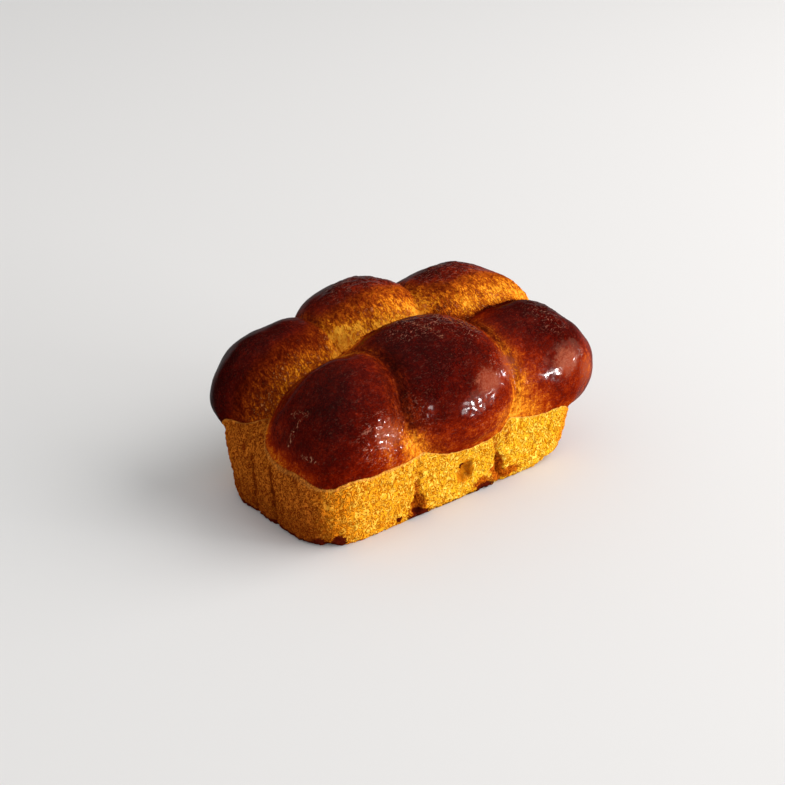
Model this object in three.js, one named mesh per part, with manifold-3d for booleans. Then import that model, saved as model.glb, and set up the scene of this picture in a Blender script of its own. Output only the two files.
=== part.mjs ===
// A small brioche loaf: six balls of dough, in two rows of three, that rose and baked together in a tin.
// Millimetres, +Z up, X along the loaf. The origin is the middle of the footprint, on the flat base.
// Every place below is measured from the middle of the tin's floor, and the last step centres the loaf.
import * as THREE from 'three';
import { mergeVertices } from 'three/addons/utils/BufferGeometryUtils.js';
import Module from 'manifold-3d';

// The tin pressed the walls: half sizes and a corner radius at its floor, and how far its sides lean out
// and its corners grow rounder per mm of height.
const TIN_HALF_LENGTH = 69.8;
const TIN_HALF_WIDTH = 35.2;
const TIN_LEAN = 0.147;
const TIN_CORNER_RADIUS = 19.6;
const TIN_CORNER_GROWTH = 0.1;
const WALL_HEIGHT = 40.8;
const WALL_TOP_ROUND = 16;
const BASE_EDGE_ROUND = 6;
const BASE_EDGE_BELOW = 3;

// The dough left one lower corner of the tin unfilled, at +X on the near (-Y) side.
const UNFILLED_RISE = 9;
const UNFILLED_REACH = 30;

// Each ball of dough: its middle, its reach along X, Y and up, its reach down to where the tin took over,
// and the power of its plan. An ellipse has power 2, and a ball that its neighbours crowd is squarer.
const NEAR_ROW = [
  { middle: [-35.4, -13.1, 29.8], reach: [36.0, 27.4, 37.6], down: 17.2, power: 3.0 },
  { middle: [-0.4, -12.1, 39.6], reach: [42.0, 30.8, 32.0], down: 29.0, power: 2.9 },
  { middle: [48.3, -15.2, 34.2], reach: [37.5, 25.0, 33.1], down: 21.4, power: 3.0 },
];
const FAR_ROW = [
  { middle: [-37.6, 29.4, 38.1], reach: [33.2, 25.2, 30.1], down: 19.9, power: 2.6 },
  { middle: [1.0, 29.1, 48.3], reach: [33.6, 28.5, 28.7], down: 30.0, power: 2.0 },
  { middle: [44.9, 20.2, 48.0], reach: [37.6, 29.5, 25.8], down: 28.0, power: 2.6 },
];

// The crease between two balls of a row is sharp, the valley between the rows is filled softly,
// and where a ball hangs over the wall the corner is sharp again.
const CREASE_FILLET = 2.4;
const VALLEY_FILLET = 6;
const RIM_FILLET = 2.6;

// Unevenness of the domes, as slow waves.
const LUMP_HEIGHT = 0.55;
const LUMP_LENGTHS = [23, 19, 21];

// Upright seams where two balls met against the tin: a place at the floor, a lean towards the top, a depth.
const SEAM_HALF_WIDTH = 2.4;
const SEAM_TOP = 36;
const SEAM_FADE = 11;
const LONG_SIDE_SEAMS = [
  { side: -1, at: -21.5, lean: -0.12, depth: 1.2 },
  { side: -1, at: 24.4, lean: -0.28, depth: 1.2 },
  { side: 1, at: -19, lean: -0.05, depth: 1.2 },
  { side: 1, at: 24, lean: 0.05, depth: 1.2 },
];
const SHORT_SIDE_SEAMS = [
  { side: -1, at: -4.4, lean: -0.03, depth: 1.4 },
  { side: -1, at: 9.2, lean: -0.08, depth: 1.2 },
  { side: 1, at: 5, lean: 0, depth: 1.2 },
];

// Pieces missing from the loaf, as ellipsoids: notches in the base edge, and one pit where the wall stuck.
const BITES = [
  { middle: [-63.4, -30.2, 0], reach: [2.6, 2.6, 2.2] },
  { middle: [-22.2, -37.2, 6.6], reach: [4.0, 3.8, 5.8] },
  { middle: [21.6, -37.6, 8.6], reach: [3.2, 3.4, 6.0] },
  { middle: [2.4, -38.2, 13.4], reach: [4.0, 4.4, 5.2] },
];
const BITE_SEGMENTS = [14, 10];

// The skin is a box of vertices that rays carry from a core inside the loaf out to the surface.
const CORE_MIDDLE_Z = 36;
const CORE_HALF = [54, 24, 14];
const RAY_REACH = 50;
const SKIN_SEGMENTS = [42, 28, 20];
const HALVINGS = 26;

const CRUST_COLOUR = 0x8a3f16;
const CRUST_ROUGHNESS = 0.4;

const wasm = await Module();
wasm.setup();

// A union of two distances whose crease is filled with a soft fillet.
function softUnion(a, b, fillet) {
  const overlap = Math.max(fillet - Math.abs(a - b), 0) / fillet;
  return Math.min(a, b) - (overlap * overlap * fillet) / 4;
}

// The distance to an edge rounded by a radius, where two surfaces meet at a right angle.
function roundedEdge(a, b, radius) {
  const outA = a + radius;
  const outB = b + radius;
  return Math.hypot(Math.max(outA, 0), Math.max(outB, 0)) + Math.min(Math.max(outA, outB), 0) - radius;
}

function smoothStep(low, high, value) {
  return THREE.MathUtils.smoothstep(value, low, high);
}

// How far a ball's surface is from a point, less than nothing inside.
function ballDistance(p, ball) {
  const away = [p.x - ball.middle[0], p.y - ball.middle[1], p.z - ball.middle[2]];
  const upright = away[2] < 0 ? ball.down : ball.reach[2];
  const x = Math.abs(away[0]) / ball.reach[0];
  const y = Math.abs(away[1]) / ball.reach[1];
  const plan = (x ** ball.power + y ** ball.power) ** (1 / ball.power);
  const size = Math.hypot(plan, away[2] / upright);
  return size > 0 ? Math.hypot(...away) * (1 - 1 / size) : -upright;
}

function rowDistance(p, row) {
  const balls = row.map((ball) => ballDistance(p, ball));
  return balls.reduce((a, b) => softUnion(a, b, CREASE_FILLET));
}

// One seam's depth at a place along its side of the tin. It ends where that side turns into a corner.
function seamAt(seam, along, across, height, halfSize) {
  const off = (along - seam.at - seam.lean * height) / SEAM_HALF_WIDTH;
  const onThisSide = across * seam.side > halfSize - TIN_CORNER_RADIUS;
  return onThisSide ? seam.depth * Math.exp(-off * off) : 0;
}

// How deep the upright seams cut into the wall at a point.
function seamDepth(p) {
  const fade = 1 - smoothStep(SEAM_TOP - SEAM_FADE, SEAM_TOP, p.z);
  const longSides = LONG_SIDE_SEAMS.map((seam) => seamAt(seam, p.x, p.y, p.z, TIN_HALF_WIDTH));
  const shortSides = SHORT_SIDE_SEAMS.map((seam) => seamAt(seam, p.y, p.x, p.z, TIN_HALF_LENGTH));
  return fade * Math.max(...longSides, ...shortSides);
}

// How high the base curls up at the unfilled corner of the tin.
function baseRise(p) {
  const away = Math.hypot(p.x - TIN_HALF_LENGTH, p.y + TIN_HALF_WIDTH);
  return UNFILLED_RISE * (1 - smoothStep(0, UNFILLED_REACH, away));
}

// How far the moulded lower part of the loaf is from a point.
function wallDistance(p) {
  const widening = TIN_LEAN * Math.max(p.z, 0);
  const x = Math.abs(p.x) - TIN_HALF_LENGTH - widening;
  const y = Math.abs(p.y) - TIN_HALF_WIDTH - widening;
  const corner = TIN_CORNER_RADIUS + TIN_CORNER_GROWTH * Math.max(p.z, 0);
  const side = roundedEdge(x, y, corner) + seamDepth(p);
  const base = baseRise(p) - BASE_EDGE_BELOW - p.z;
  return Math.max(
    roundedEdge(side, base, BASE_EDGE_ROUND),
    roundedEdge(side, p.z - WALL_HEIGHT, WALL_TOP_ROUND),
  );
}

function lump(p) {
  const waves = LUMP_LENGTHS.map((length, i) => Math.sin((p.getComponent(i) / length) * Math.PI + i));
  return LUMP_HEIGHT * (waves[0] + waves[1]) * waves[2];
}

// How far the whole loaf is from a point, before the bites.
function loafDistance(p) {
  const dough = softUnion(rowDistance(p, NEAR_ROW), rowDistance(p, FAR_ROW), VALLEY_FILLET);
  const rise = smoothStep(WALL_HEIGHT / 2, WALL_HEIGHT, p.z);
  return softUnion(dough, wallDistance(p), RIM_FILLET) - lump(p) * rise;
}

// The point where the way from inside to outside leaves the loaf.
function surfacePoint(inside, outside) {
  let low = 0;
  let high = 1;
  const p = new THREE.Vector3();
  for (let i = 0; i < HALVINGS; i += 1) {
    const half = (low + high) / 2;
    p.lerpVectors(inside, outside, half);
    if (loafDistance(p) < 0) low = half;
    else high = half;
  }
  return p;
}

function skinGeometry() {
  const skin = new THREE.BoxGeometry(2, 2, 2, ...SKIN_SEGMENTS);
  const places = skin.getAttribute('position');
  const core = new THREE.Vector3(...CORE_HALF);
  const reach = core.clone().addScalar(RAY_REACH);
  const middle = new THREE.Vector3(0, 0, CORE_MIDDLE_Z);
  for (let i = 0; i < places.count; i += 1) {
    const corner = new THREE.Vector3().fromBufferAttribute(places, i);
    const inside = corner.clone().multiply(core).add(middle);
    const outside = corner.clone().multiply(reach).add(middle);
    const p = surfacePoint(inside, outside);
    places.setXYZ(i, p.x, p.y, p.z);
  }
  return skin;
}

function ellipsoidGeometry({ middle, reach }) {
  return new THREE.SphereGeometry(1, ...BITE_SEGMENTS).scale(...reach).translate(...middle);
}

// A closed geometry as a solid that can be cut and joined.
function solidFrom(geometry) {
  geometry.deleteAttribute('normal');
  geometry.deleteAttribute('uv');
  const merged = mergeVertices(geometry);
  const vertProperties = new Float32Array(merged.getAttribute('position').array);
  const triVerts = new Uint32Array(merged.index.array);
  return new wasm.Manifold(new wasm.Mesh({ numProp: 3, vertProperties, triVerts }));
}

function geometryFrom(solid) {
  const { vertProperties, triVerts } = solid.getMesh();
  const geometry = new THREE.BufferGeometry();
  geometry.setAttribute('position', new THREE.BufferAttribute(vertProperties, 3));
  geometry.setIndex(new THREE.BufferAttribute(triVerts, 1));
  return geometry;
}

// The surface that the loaf stands on, as a thick slab whose top is the floor of the tin.
function slabGeometry() {
  const length = 4 * TIN_HALF_LENGTH;
  const thickness = WALL_HEIGHT;
  return new THREE.BoxGeometry(length, length, thickness).translate(0, 0, -thickness / 2);
}

function loafGeometry() {
  let loaf = solidFrom(skinGeometry()).subtract(solidFrom(slabGeometry()));
  for (const bite of BITES) loaf = loaf.subtract(solidFrom(ellipsoidGeometry(bite)));
  const geometry = geometryFrom(loaf);
  geometry.computeBoundingBox();
  const footprint = geometry.boundingBox.getCenter(new THREE.Vector3());
  geometry.translate(-footprint.x, -footprint.y, 0);
  geometry.computeVertexNormals();
  return geometry;
}

const crust = new THREE.MeshStandardMaterial({
  color: CRUST_COLOUR,
  roughness: CRUST_ROUGHNESS,
  metalness: 0,
});
const loaf = new THREE.Mesh(loafGeometry(), crust);
loaf.name = 'loaf';

const brioche = new THREE.Group();
brioche.add(loaf);

export default brioche;
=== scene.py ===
# %% [markdown]
# # A small brioche loaf
# Six balls of dough rose side by side in a small tin, pushed up over its rim and baked into one loaf. The
# domes carry an egg-washed crust, nearly black on top and amber in the creases, and below the rim the tin
# has moulded golden, porous walls. This lesson models the loaf as one mesh and gives it one finish.

# %% [markdown]
# ## The frame
# The loaf already exists as a plain solid at its real size, and it is loaded first. The detailed mesh is
# built to fill the same box, so nothing is fitted afterwards. Every place in this lesson is measured in
# millimetres from the middle of the tin's floor, which is a little off the middle of the loaf, because the
# balls hang over the tin further on one side than on the other.

# %% Load the frame
import math

import bpy
import numpy as np
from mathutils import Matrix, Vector


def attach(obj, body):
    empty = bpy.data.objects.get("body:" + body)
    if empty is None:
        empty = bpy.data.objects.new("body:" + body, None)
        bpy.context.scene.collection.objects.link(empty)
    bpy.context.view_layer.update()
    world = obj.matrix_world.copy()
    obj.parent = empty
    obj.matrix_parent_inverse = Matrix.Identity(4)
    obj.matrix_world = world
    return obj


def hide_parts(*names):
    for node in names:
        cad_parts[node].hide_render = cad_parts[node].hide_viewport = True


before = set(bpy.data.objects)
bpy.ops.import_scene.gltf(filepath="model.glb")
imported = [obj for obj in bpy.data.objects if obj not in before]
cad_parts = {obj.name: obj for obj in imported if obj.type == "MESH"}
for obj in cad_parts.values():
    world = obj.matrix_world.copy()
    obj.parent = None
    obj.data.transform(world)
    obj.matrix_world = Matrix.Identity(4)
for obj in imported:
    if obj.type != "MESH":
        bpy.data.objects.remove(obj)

MM = 0.001
TIN_MIDDLE = np.array([-5.84, -7.25, 0.0])


def in_metres(place):
    """A place measured from the tin's floor in millimetres, as a vector in the loaf's frame."""
    return Vector((np.asarray(place) + TIN_MIDDLE) * MM)


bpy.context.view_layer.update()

# %% [markdown]
# ## The camera
# The photo was taken from about arm's length with a moderate zoom: the loaf's edges hardly converge. The
# camera could be nudged by eye, but here its direction, distance and lens come from fitting the outline.

# %% Place the camera
LOOK_AT = in_metres((-1.78, 4.31, 35.4))
CAMERA_AZIMUTH = math.radians(-39.84)
CAMERA_ELEVATION = math.radians(26.48)
CAMERA_DISTANCE = 718.4 * MM
CAMERA_LENS = 77.96


def direction(azimuth, elevation):
    """The way from the loaf towards something seen at an azimuth, 0 being along -Y, and an elevation."""
    level = math.cos(elevation)
    return Vector((math.sin(azimuth) * level, -math.cos(azimuth) * level, math.sin(elevation)))


camera_place = LOOK_AT + CAMERA_DISTANCE * direction(CAMERA_AZIMUTH, CAMERA_ELEVATION)
bpy.ops.object.camera_add(location=camera_place)
camera = bpy.context.object
camera.name = "photo_camera"
camera.rotation_euler = (LOOK_AT - camera_place).to_track_quat("-Z", "Y").to_euler()
camera.data.lens = CAMERA_LENS
bpy.context.scene.camera = camera
print("camera at", [round(v / MM) for v in camera_place], "mm")

# %% [markdown]
# ## Balls of dough
# Each dome on the loaf is a ball that its neighbours crowd, so from above it is squarer than an ellipse, and
# below its widest level it is flatter, where the tin took over. A ball could be sculpted, but a sphere that
# is squared, stretched to its reach and flattened below keeps every measure by name. The power says how
# square the plan of a ball is: 2 makes an ellipse.

# %% Make the balls of dough
BALLS = {
    "near_left": {"middle": (-35.4, -13.1, 29.8), "reach": (36.0, 27.4, 37.6), "down": 17.2, "power": 3.0},
    "near_middle": {"middle": (-0.4, -12.1, 39.6), "reach": (42.0, 30.8, 32.0), "down": 29.0, "power": 2.9},
    "near_right": {"middle": (48.3, -15.2, 34.2), "reach": (37.5, 25.0, 33.1), "down": 21.4, "power": 3.0},
    "far_left": {"middle": (-37.6, 29.4, 38.1), "reach": (33.2, 25.2, 30.1), "down": 19.9, "power": 2.6},
    "far_middle": {"middle": (1.0, 29.1, 48.3), "reach": (33.6, 28.5, 28.7), "down": 30.0, "power": 2.0},
    "far_right": {"middle": (44.9, 20.2, 48.0), "reach": (37.6, 29.5, 25.8), "down": 28.0, "power": 2.6},
}
BALL_SEGMENTS = 96
BALL_RINGS = 64


def read_points(piece):
    """A piece's vertices as an array of rows, in metres."""
    flat = np.empty(3 * len(piece.data.vertices))
    piece.data.vertices.foreach_get("co", flat)
    return flat.reshape(-1, 3)


def write_points(piece, points):
    piece.data.vertices.foreach_set("co", points.ravel())
    piece.data.update()


def square_shoulders(ball, power):
    """Pushes a unit sphere's sides out until its plan is a superellipse."""
    points = read_points(ball)
    plan = np.abs(points[:, :2])
    round_radius = np.hypot(*plan.T)
    square_radius = (plan**power).sum(axis=1) ** (1 / power)
    points[:, :2] *= (round_radius / np.maximum(square_radius, 1e-9))[:, None]
    write_points(ball, points)


def select_below(piece, height):
    """Selects the vertices under a height, with the piece left in edit mode."""
    bpy.ops.object.mode_set(mode="EDIT")
    bpy.ops.mesh.select_mode(type="VERT")
    bpy.ops.mesh.select_all(action="DESELECT")
    bpy.ops.object.mode_set(mode="OBJECT")
    for vertex in piece.data.vertices:
        vertex.select = vertex.co.z < height
    bpy.ops.object.mode_set(mode="EDIT")


def dough_ball(name, middle, reach, down, power):
    bpy.ops.object.select_all(action="DESELECT")
    bpy.ops.mesh.primitive_uv_sphere_add(segments=BALL_SEGMENTS, ring_count=BALL_RINGS, radius=1)
    ball = bpy.context.object
    ball.name = name
    square_shoulders(ball, power)
    select_below(ball, 0)
    bpy.ops.transform.resize(value=(1, 1, down / reach[2]), center_override=(0, 0, 0))
    bpy.ops.mesh.select_all(action="SELECT")
    bpy.ops.transform.resize(value=[r * MM for r in reach], center_override=(0, 0, 0))
    bpy.ops.transform.translate(value=in_metres(middle))
    bpy.ops.object.mode_set(mode="OBJECT")
    return ball


balls = [dough_ball(name, **sizes) for name, sizes in BALLS.items()]
for ball in balls:
    print(ball.name, "spans", [round(v / MM, 1) for v in ball.dimensions], "mm")

# %% [markdown]
# ## The block that the tin moulded
# Below the rim the dough filled the tin: a long block that leans outwards, with round upright corners. Its
# top edge is rounded much more, because there the dough left the tin and the balls hang over it. A cube whose
# upright edges are bevelled, whose top is then widened, and whose level edges are bevelled last, is the
# shortest way to such a block, and its corners grow rounder towards the rim as a tin's do.

# %% Make the moulded block
TIN_HALF_LENGTH = 69.8
TIN_HALF_WIDTH = 35.2
TIN_LEAN = 0.147
TIN_CORNER_RADIUS = 19.6
TIN_CORNER_GROWTH = 0.06
WALL_HEIGHT = 40.8
WALL_TOP_ROUND = 16.0
BASE_EDGE_ROUND = 6.0
BASE_EDGE_BELOW = 3.0
CORNER_SEGMENTS = 12
TOP_SEGMENTS = 10
BASE_SEGMENTS = 5
EDGE_MARGIN = 1.0


def select_edges(piece, chosen):
    """Selects the edges whose two ends, in mm, pass a test, with the piece left in edit mode."""
    bpy.ops.object.mode_set(mode="EDIT")
    bpy.ops.mesh.select_mode(type="EDGE")
    bpy.ops.mesh.select_all(action="DESELECT")
    bpy.ops.object.mode_set(mode="OBJECT")
    for edge in piece.data.edges:
        ends = [piece.data.vertices[i].co / MM for i in edge.vertices]
        edge.select = chosen(*ends)
    bpy.ops.object.mode_set(mode="EDIT")


def bevel_edges(piece, chosen, radius, segments):
    select_edges(piece, chosen)
    bpy.ops.mesh.bevel(offset=radius * MM, segments=segments, affect="EDGES")
    bpy.ops.object.mode_set(mode="OBJECT")


def moulded_block():
    bpy.ops.object.select_all(action="DESELECT")
    bpy.ops.mesh.primitive_cube_add(size=2)
    block = bpy.context.object
    block.name = "brioche_loaf"
    height = WALL_HEIGHT + BASE_EDGE_BELOW
    half_sizes = [TIN_HALF_LENGTH * MM, TIN_HALF_WIDTH * MM, height / 2 * MM]
    bpy.ops.object.mode_set(mode="EDIT")
    bpy.ops.transform.resize(value=half_sizes, center_override=(0, 0, 0))
    bpy.ops.object.mode_set(mode="OBJECT")
    bevel_edges(block, lambda a, b: abs(a.z - b.z) > height / 2, TIN_CORNER_RADIUS, CORNER_SEGMENTS)
    widening = TIN_LEAN * WALL_HEIGHT
    top_growth = [1 + widening / TIN_HALF_LENGTH, 1 + widening / TIN_HALF_WIDTH, 1]
    select_below(block, 0)
    bpy.ops.mesh.select_all(action="INVERT")
    bpy.ops.transform.resize(value=top_growth, center_override=(0, 0, 0))
    bpy.ops.mesh.select_all(action="SELECT")
    bpy.ops.transform.translate(value=in_metres((0, 0, height / 2 - BASE_EDGE_BELOW)))
    bpy.ops.object.mode_set(mode="OBJECT")
    top, bottom = WALL_HEIGHT - EDGE_MARGIN, EDGE_MARGIN - BASE_EDGE_BELOW
    bevel_edges(block, lambda a, b: min(a.z, b.z) > top, WALL_TOP_ROUND, TOP_SEGMENTS)
    bevel_edges(block, lambda a, b: max(a.z, b.z) < bottom, BASE_EDGE_ROUND, BASE_SEGMENTS)
    return block


block = moulded_block()
print("block spans", [round(v / MM, 1) for v in block.dimensions], "mm")

# %% [markdown]
# ## The unfilled corner
# The dough didn't reach into one lower corner of the tin, so there the base curls up. One slanted cut through
# the block is enough, because the later smoothing rounds it.

# %% Cut the unfilled corner
UNFILLED_REACH = 18.5
UNFILLED_SLOPE = 0.43
OUT_TO_CORNER = Vector((1, -1, 0)).normalized()

bpy.ops.object.mode_set(mode="EDIT")
bpy.ops.mesh.select_all(action="SELECT")
cut_start = in_metres((TIN_HALF_LENGTH, -TIN_HALF_WIDTH, 0)) - OUT_TO_CORNER * UNFILLED_REACH * MM
bpy.ops.mesh.bisect(
    plane_co=cut_start,
    plane_no=OUT_TO_CORNER * UNFILLED_SLOPE - Vector((0, 0, 1)),
    use_fill=True,
    clear_outer=True,
)
bpy.ops.object.mode_set(mode="OBJECT")
print("block has", len(block.data.polygons), "faces after the cut")

# %% [markdown]
# ## Notches and a pit
# Crumb tore away where the loaf stuck to the tin: notches in the base edge, mostly where two balls met, and a
# pit in the near wall. Each is a small ellipsoid cut out of the block with a Boolean modifier.

# %% Cut the notches and the pit
BITES = {
    "corner_gap": {"middle": (-63.4, -30.2, 0), "reach": (2.6, 2.6, 2.2)},
    "left_seam_notch": {"middle": (-22.2, -37.2, 6.6), "reach": (4.0, 3.8, 5.8)},
    "right_seam_notch": {"middle": (21.6, -37.6, 8.6), "reach": (3.2, 3.4, 6.0)},
    "wall_pit": {"middle": (2.4, -38.2, 13.4), "reach": (4.0, 4.4, 5.2)},
}
BITE_SEGMENTS = 32
BITE_RINGS = 20


def only(piece):
    """Makes a piece the one that operators act on."""
    bpy.ops.object.select_all(action="DESELECT")
    piece.select_set(True)
    bpy.context.view_layer.objects.active = piece


def apply_modifier(piece, kind, **settings):
    only(piece)
    modifier = piece.modifiers.new(kind.lower(), kind)
    for name, value in settings.items():
        setattr(modifier, name, value)
    bpy.ops.object.modifier_apply(modifier=modifier.name)


def bite(piece, name, middle, reach):
    bpy.ops.object.select_all(action="DESELECT")
    bpy.ops.mesh.primitive_uv_sphere_add(segments=BITE_SEGMENTS, ring_count=BITE_RINGS, radius=1)
    tooth = bpy.context.object
    bpy.ops.object.mode_set(mode="EDIT")
    bpy.ops.transform.resize(value=[r * MM for r in reach], center_override=(0, 0, 0))
    bpy.ops.transform.translate(value=in_metres(middle))
    bpy.ops.object.mode_set(mode="OBJECT")
    apply_modifier(piece, "BOOLEAN", operation="DIFFERENCE", object=tooth, solver="EXACT")
    bpy.data.objects.remove(tooth)
    print(name, "cut,", len(piece.data.polygons), "faces")


for name, sizes in BITES.items():
    bite(block, name, **sizes)

# %% [markdown]
# ## One loaf
# The balls and the block baked into a single piece. They are joined and remeshed with small voxels, which
# melts everything inside away and leaves one even skin, fine enough for the wrinkles that come next. A light
# smoothing takes the steps of the voxels off.

# %% Join and remesh
VOXEL = 0.75
SKIN_SMOOTHING = 6
SMOOTHING_FACTOR = 0.5

bpy.ops.object.select_all(action="DESELECT")
for ball in balls:
    ball.select_set(True)
block.select_set(True)
bpy.context.view_layer.objects.active = block
bpy.ops.object.join()
loaf = block
apply_modifier(loaf, "REMESH", mode="VOXEL", voxel_size=VOXEL * MM)
apply_modifier(loaf, "SMOOTH", factor=SMOOTHING_FACTOR, iterations=SKIN_SMOOTHING)
print("skin has", len(loaf.data.vertices), "vertices")

# %% [markdown]
# ## Where things are on the skin
# Every later step asks the same questions of each vertex: which ball it lies on, how far the neighbouring
# balls are, and how far the wall is. The distances below answer them, from the sizes already given. The
# crust ends where a ball meets the wall. It reaches a little lower round the left near ball, and the wall
# climbs a little where that ball meets the next one. The crust is stored as an attribute at once, because the
# relief that comes next moves the skin.

# %% Measure the skin
LEFT_DIP = 1.6
CLIMB_HEIGHT = 3.4
CLIMB_RISES = (-76, -40)
CLIMB_FALLS = (-28, 4)
FAR_CLIMB = 2.0
MIDDLE_DIP = 0.8
MIDDLE_DIPS = (3, 20)
MIDDLE_ENDS = (19, 32)
SOFT_END = 0.5
SOFT_END_TURNS = (-56, -66)
SOFT_END_STARTS = (-36, -22)
NEAR_SIDE_ENDS = (0, 10)
FAR_SIDE_STARTS = (15, 30)
EDGE_BELOW = 0.3
EDGE_ABOVE = 0.5
ROW_LENGTH = 3


def smooth_step(low, high, value):
    t = np.clip((value - low) / (high - low), 0, 1)
    return t * t * (3 - 2 * t)


def ball_distance(points, middle, reach, down, power):
    """How far points lie outside a ball, in mm."""
    away = points - np.array(middle)
    upright = np.where(away[:, 2] < 0, down, reach[2])
    plan = np.abs(away[:, :2]) / np.array(reach[:2])
    square = (plan**power).sum(axis=1) ** (1 / power)
    size = np.maximum(np.hypot(square, away[:, 2] / upright), 1e-6)
    return np.linalg.norm(away, axis=1) * (1 - 1 / size)


def rounded_edge(a, b, radius):
    """The distance to where two faces meet in an edge of a radius."""
    out_a, out_b = a + radius, b + radius
    outside = np.hypot(np.maximum(out_a, 0), np.maximum(out_b, 0))
    return outside + np.minimum(np.maximum(out_a, out_b), 0) - radius


def wall_distance(points):
    """How far points lie outside the moulded block, in mm, leaving its base out."""
    x, y, z = points.T
    widening = TIN_LEAN * np.maximum(z, 0)
    along = np.abs(x) - TIN_HALF_LENGTH - widening
    across = np.abs(y) - TIN_HALF_WIDTH - widening
    corner = TIN_CORNER_RADIUS + TIN_CORNER_GROWTH * np.maximum(z, 0)
    side = rounded_edge(along, across, corner)
    return rounded_edge(side, z - WALL_HEIGHT, WALL_TOP_ROUND)


class Skin:
    """The measures of every vertex of the loaf, in mm from the middle of the tin's floor."""

    def __init__(self, piece):
        self.points = read_points(piece) / MM - TIN_MIDDLE
        self.x, self.y, self.z = self.points.T
        self.names = list(BALLS)
        self.balls = np.array([ball_distance(self.points, **sizes) for sizes in BALLS.values()])
        self.nearest = self.balls.argmin(axis=0)
        self.in_near_row = self.nearest < ROW_LENGTH
        self.ball = self.balls.min(axis=0)
        self.wall = wall_distance(self.points)
        rise = CLIMB_HEIGHT * smooth_step(*CLIMB_RISES, self.x) - LEFT_DIP
        on_near_side = 1 - smooth_step(*NEAR_SIDE_ENDS, self.y)
        near_climb = rise * (1 - smooth_step(*CLIMB_FALLS, self.x)) * on_near_side
        dip = MIDDLE_DIP * smooth_step(*MIDDLE_DIPS, self.x) * (1 - smooth_step(*MIDDLE_ENDS, self.x))
        climb = near_climb + FAR_CLIMB * smooth_step(*FAR_SIDE_STARTS, self.y) - dip * on_near_side
        self.above_edge = self.wall - self.ball - climb
        self.soft_end = smooth_step(*SOFT_END_TURNS, self.x) * smooth_step(*SOFT_END_STARTS, self.y)
        softness = SOFT_END * self.soft_end
        self.crust = smooth_step(-EDGE_BELOW - softness, EDGE_ABOVE + softness, self.above_edge)
        near_row, far_row = self.balls[:ROW_LENGTH], self.balls[ROW_LENGTH:]
        near, far = near_row.min(axis=0), far_row.min(axis=0)
        self.valley = np.abs(near - far)
        in_row = np.sort(np.where(near < far, near_row, far_row), axis=0)
        self.crease = in_row[1] - in_row[0]

    def closeness(self, place, reach, core=0.3):
        """1 at a place on the skin and 0 beyond a reach from it, both in mm, fading outside a core."""
        away = np.linalg.norm((self.points - np.array(place)) / np.array(reach), axis=1)
        return 1 - smooth_step(core, 1, away)

    def line_closeness(self, start, end, width):
        """1 on a line from one place to another and fading over a width in mm along each axis."""
        width = np.array(width)
        start, end = np.array(start) / width, np.array(end) / width
        away = self.points / width - start
        along = np.clip(away @ (end - start) / np.sum((end - start) ** 2), 0, 1)
        return np.exp(-np.sum((away - along[:, None] * (end - start)) ** 2, axis=1))


def store(piece, name, values):
    attribute = piece.data.attributes.new(name, "FLOAT", "POINT")
    attribute.data.foreach_set("value", np.asarray(values, dtype=np.float32))


def stored(piece, name):
    values = np.empty(len(piece.data.vertices), dtype=np.float32)
    piece.data.attributes[name].data.foreach_get("value", values)
    return values


skin = Skin(loaf)
store(loaf, "crust", skin.crust)
for i, name in enumerate(skin.names):
    print(name, "carries", int(((skin.nearest == i) & (skin.crust > 0.5)).sum()), "vertices of crust")

# %% [markdown]
# ## Creases, valleys and seams
# Between two balls of a row the crease is sharp. Between the two rows the dough flowed together, so that
# valley is soft. Below the rim, thin upright seams show where two balls met against the tin. Weights painted
# on the skin tell a Smooth modifier where to fill and Displace modifiers where to press in.

# %% Press in the creases and the seams
VALLEY_WIDTH = 9.0
VALLEY_SMOOTHING = 40
VALLEY_FLOOR = 30.0
VALLEY_FADE = 6.0
CREASE_WIDTH = 2.0
CREASE_DEPTH = 0.8
SEAM_HALF_WIDTH = 1.5
SEAM_TOP = 36.0
SEAM_FADE = 11.0
SEAM_DEPTH = 1.5
LONG_SIDE_SEAMS = [
    {"side": -1, "at": -21.5, "lean": -0.12, "strength": 0.6},
    {"side": -1, "at": 24.4, "lean": -0.28, "strength": 0.6},
    {"side": 1, "at": -19.0, "lean": -0.05, "strength": 0.6},
    {"side": 1, "at": 24.0, "lean": 0.05, "strength": 0.6},
]
SHORT_SIDE_SEAMS = [
    {"side": -1, "at": -4.4, "lean": -0.03, "strength": 1.0},
    {"side": -1, "at": 9.2, "lean": -0.08, "strength": 0.8},
    {"side": 1, "at": 5.0, "lean": 0.0, "strength": 0.8},
]
WEIGHT_STEPS = 100


def paint(piece, name, weights):
    """A vertex group from weights between 0 and 1, rounded so that few calls fill it."""
    group = piece.vertex_groups.new(name=name)
    steps = np.rint(np.clip(weights, 0, 1) * WEIGHT_STEPS).astype(int)
    for step in range(1, WEIGHT_STEPS + 1):
        members = np.flatnonzero(steps == step)
        if len(members):
            group.add(members.tolist(), step / WEIGHT_STEPS, "REPLACE")
    return name


def press(piece, name, weights, depth):
    """Presses the skin in along its normals, by a depth in mm where the weights are 1."""
    group = paint(piece, name, weights)
    apply_modifier(piece, "DISPLACE", strength=-depth * MM, mid_level=0, vertex_group=group)


def seam_weight(along, across, height, half_size, side, at, lean, strength):
    off = (along - at - lean * height) / SEAM_HALF_WIDTH
    on_this_side = across * side > half_size - TIN_CORNER_RADIUS
    return np.where(on_this_side, strength * np.exp(-off * off), 0)


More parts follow.
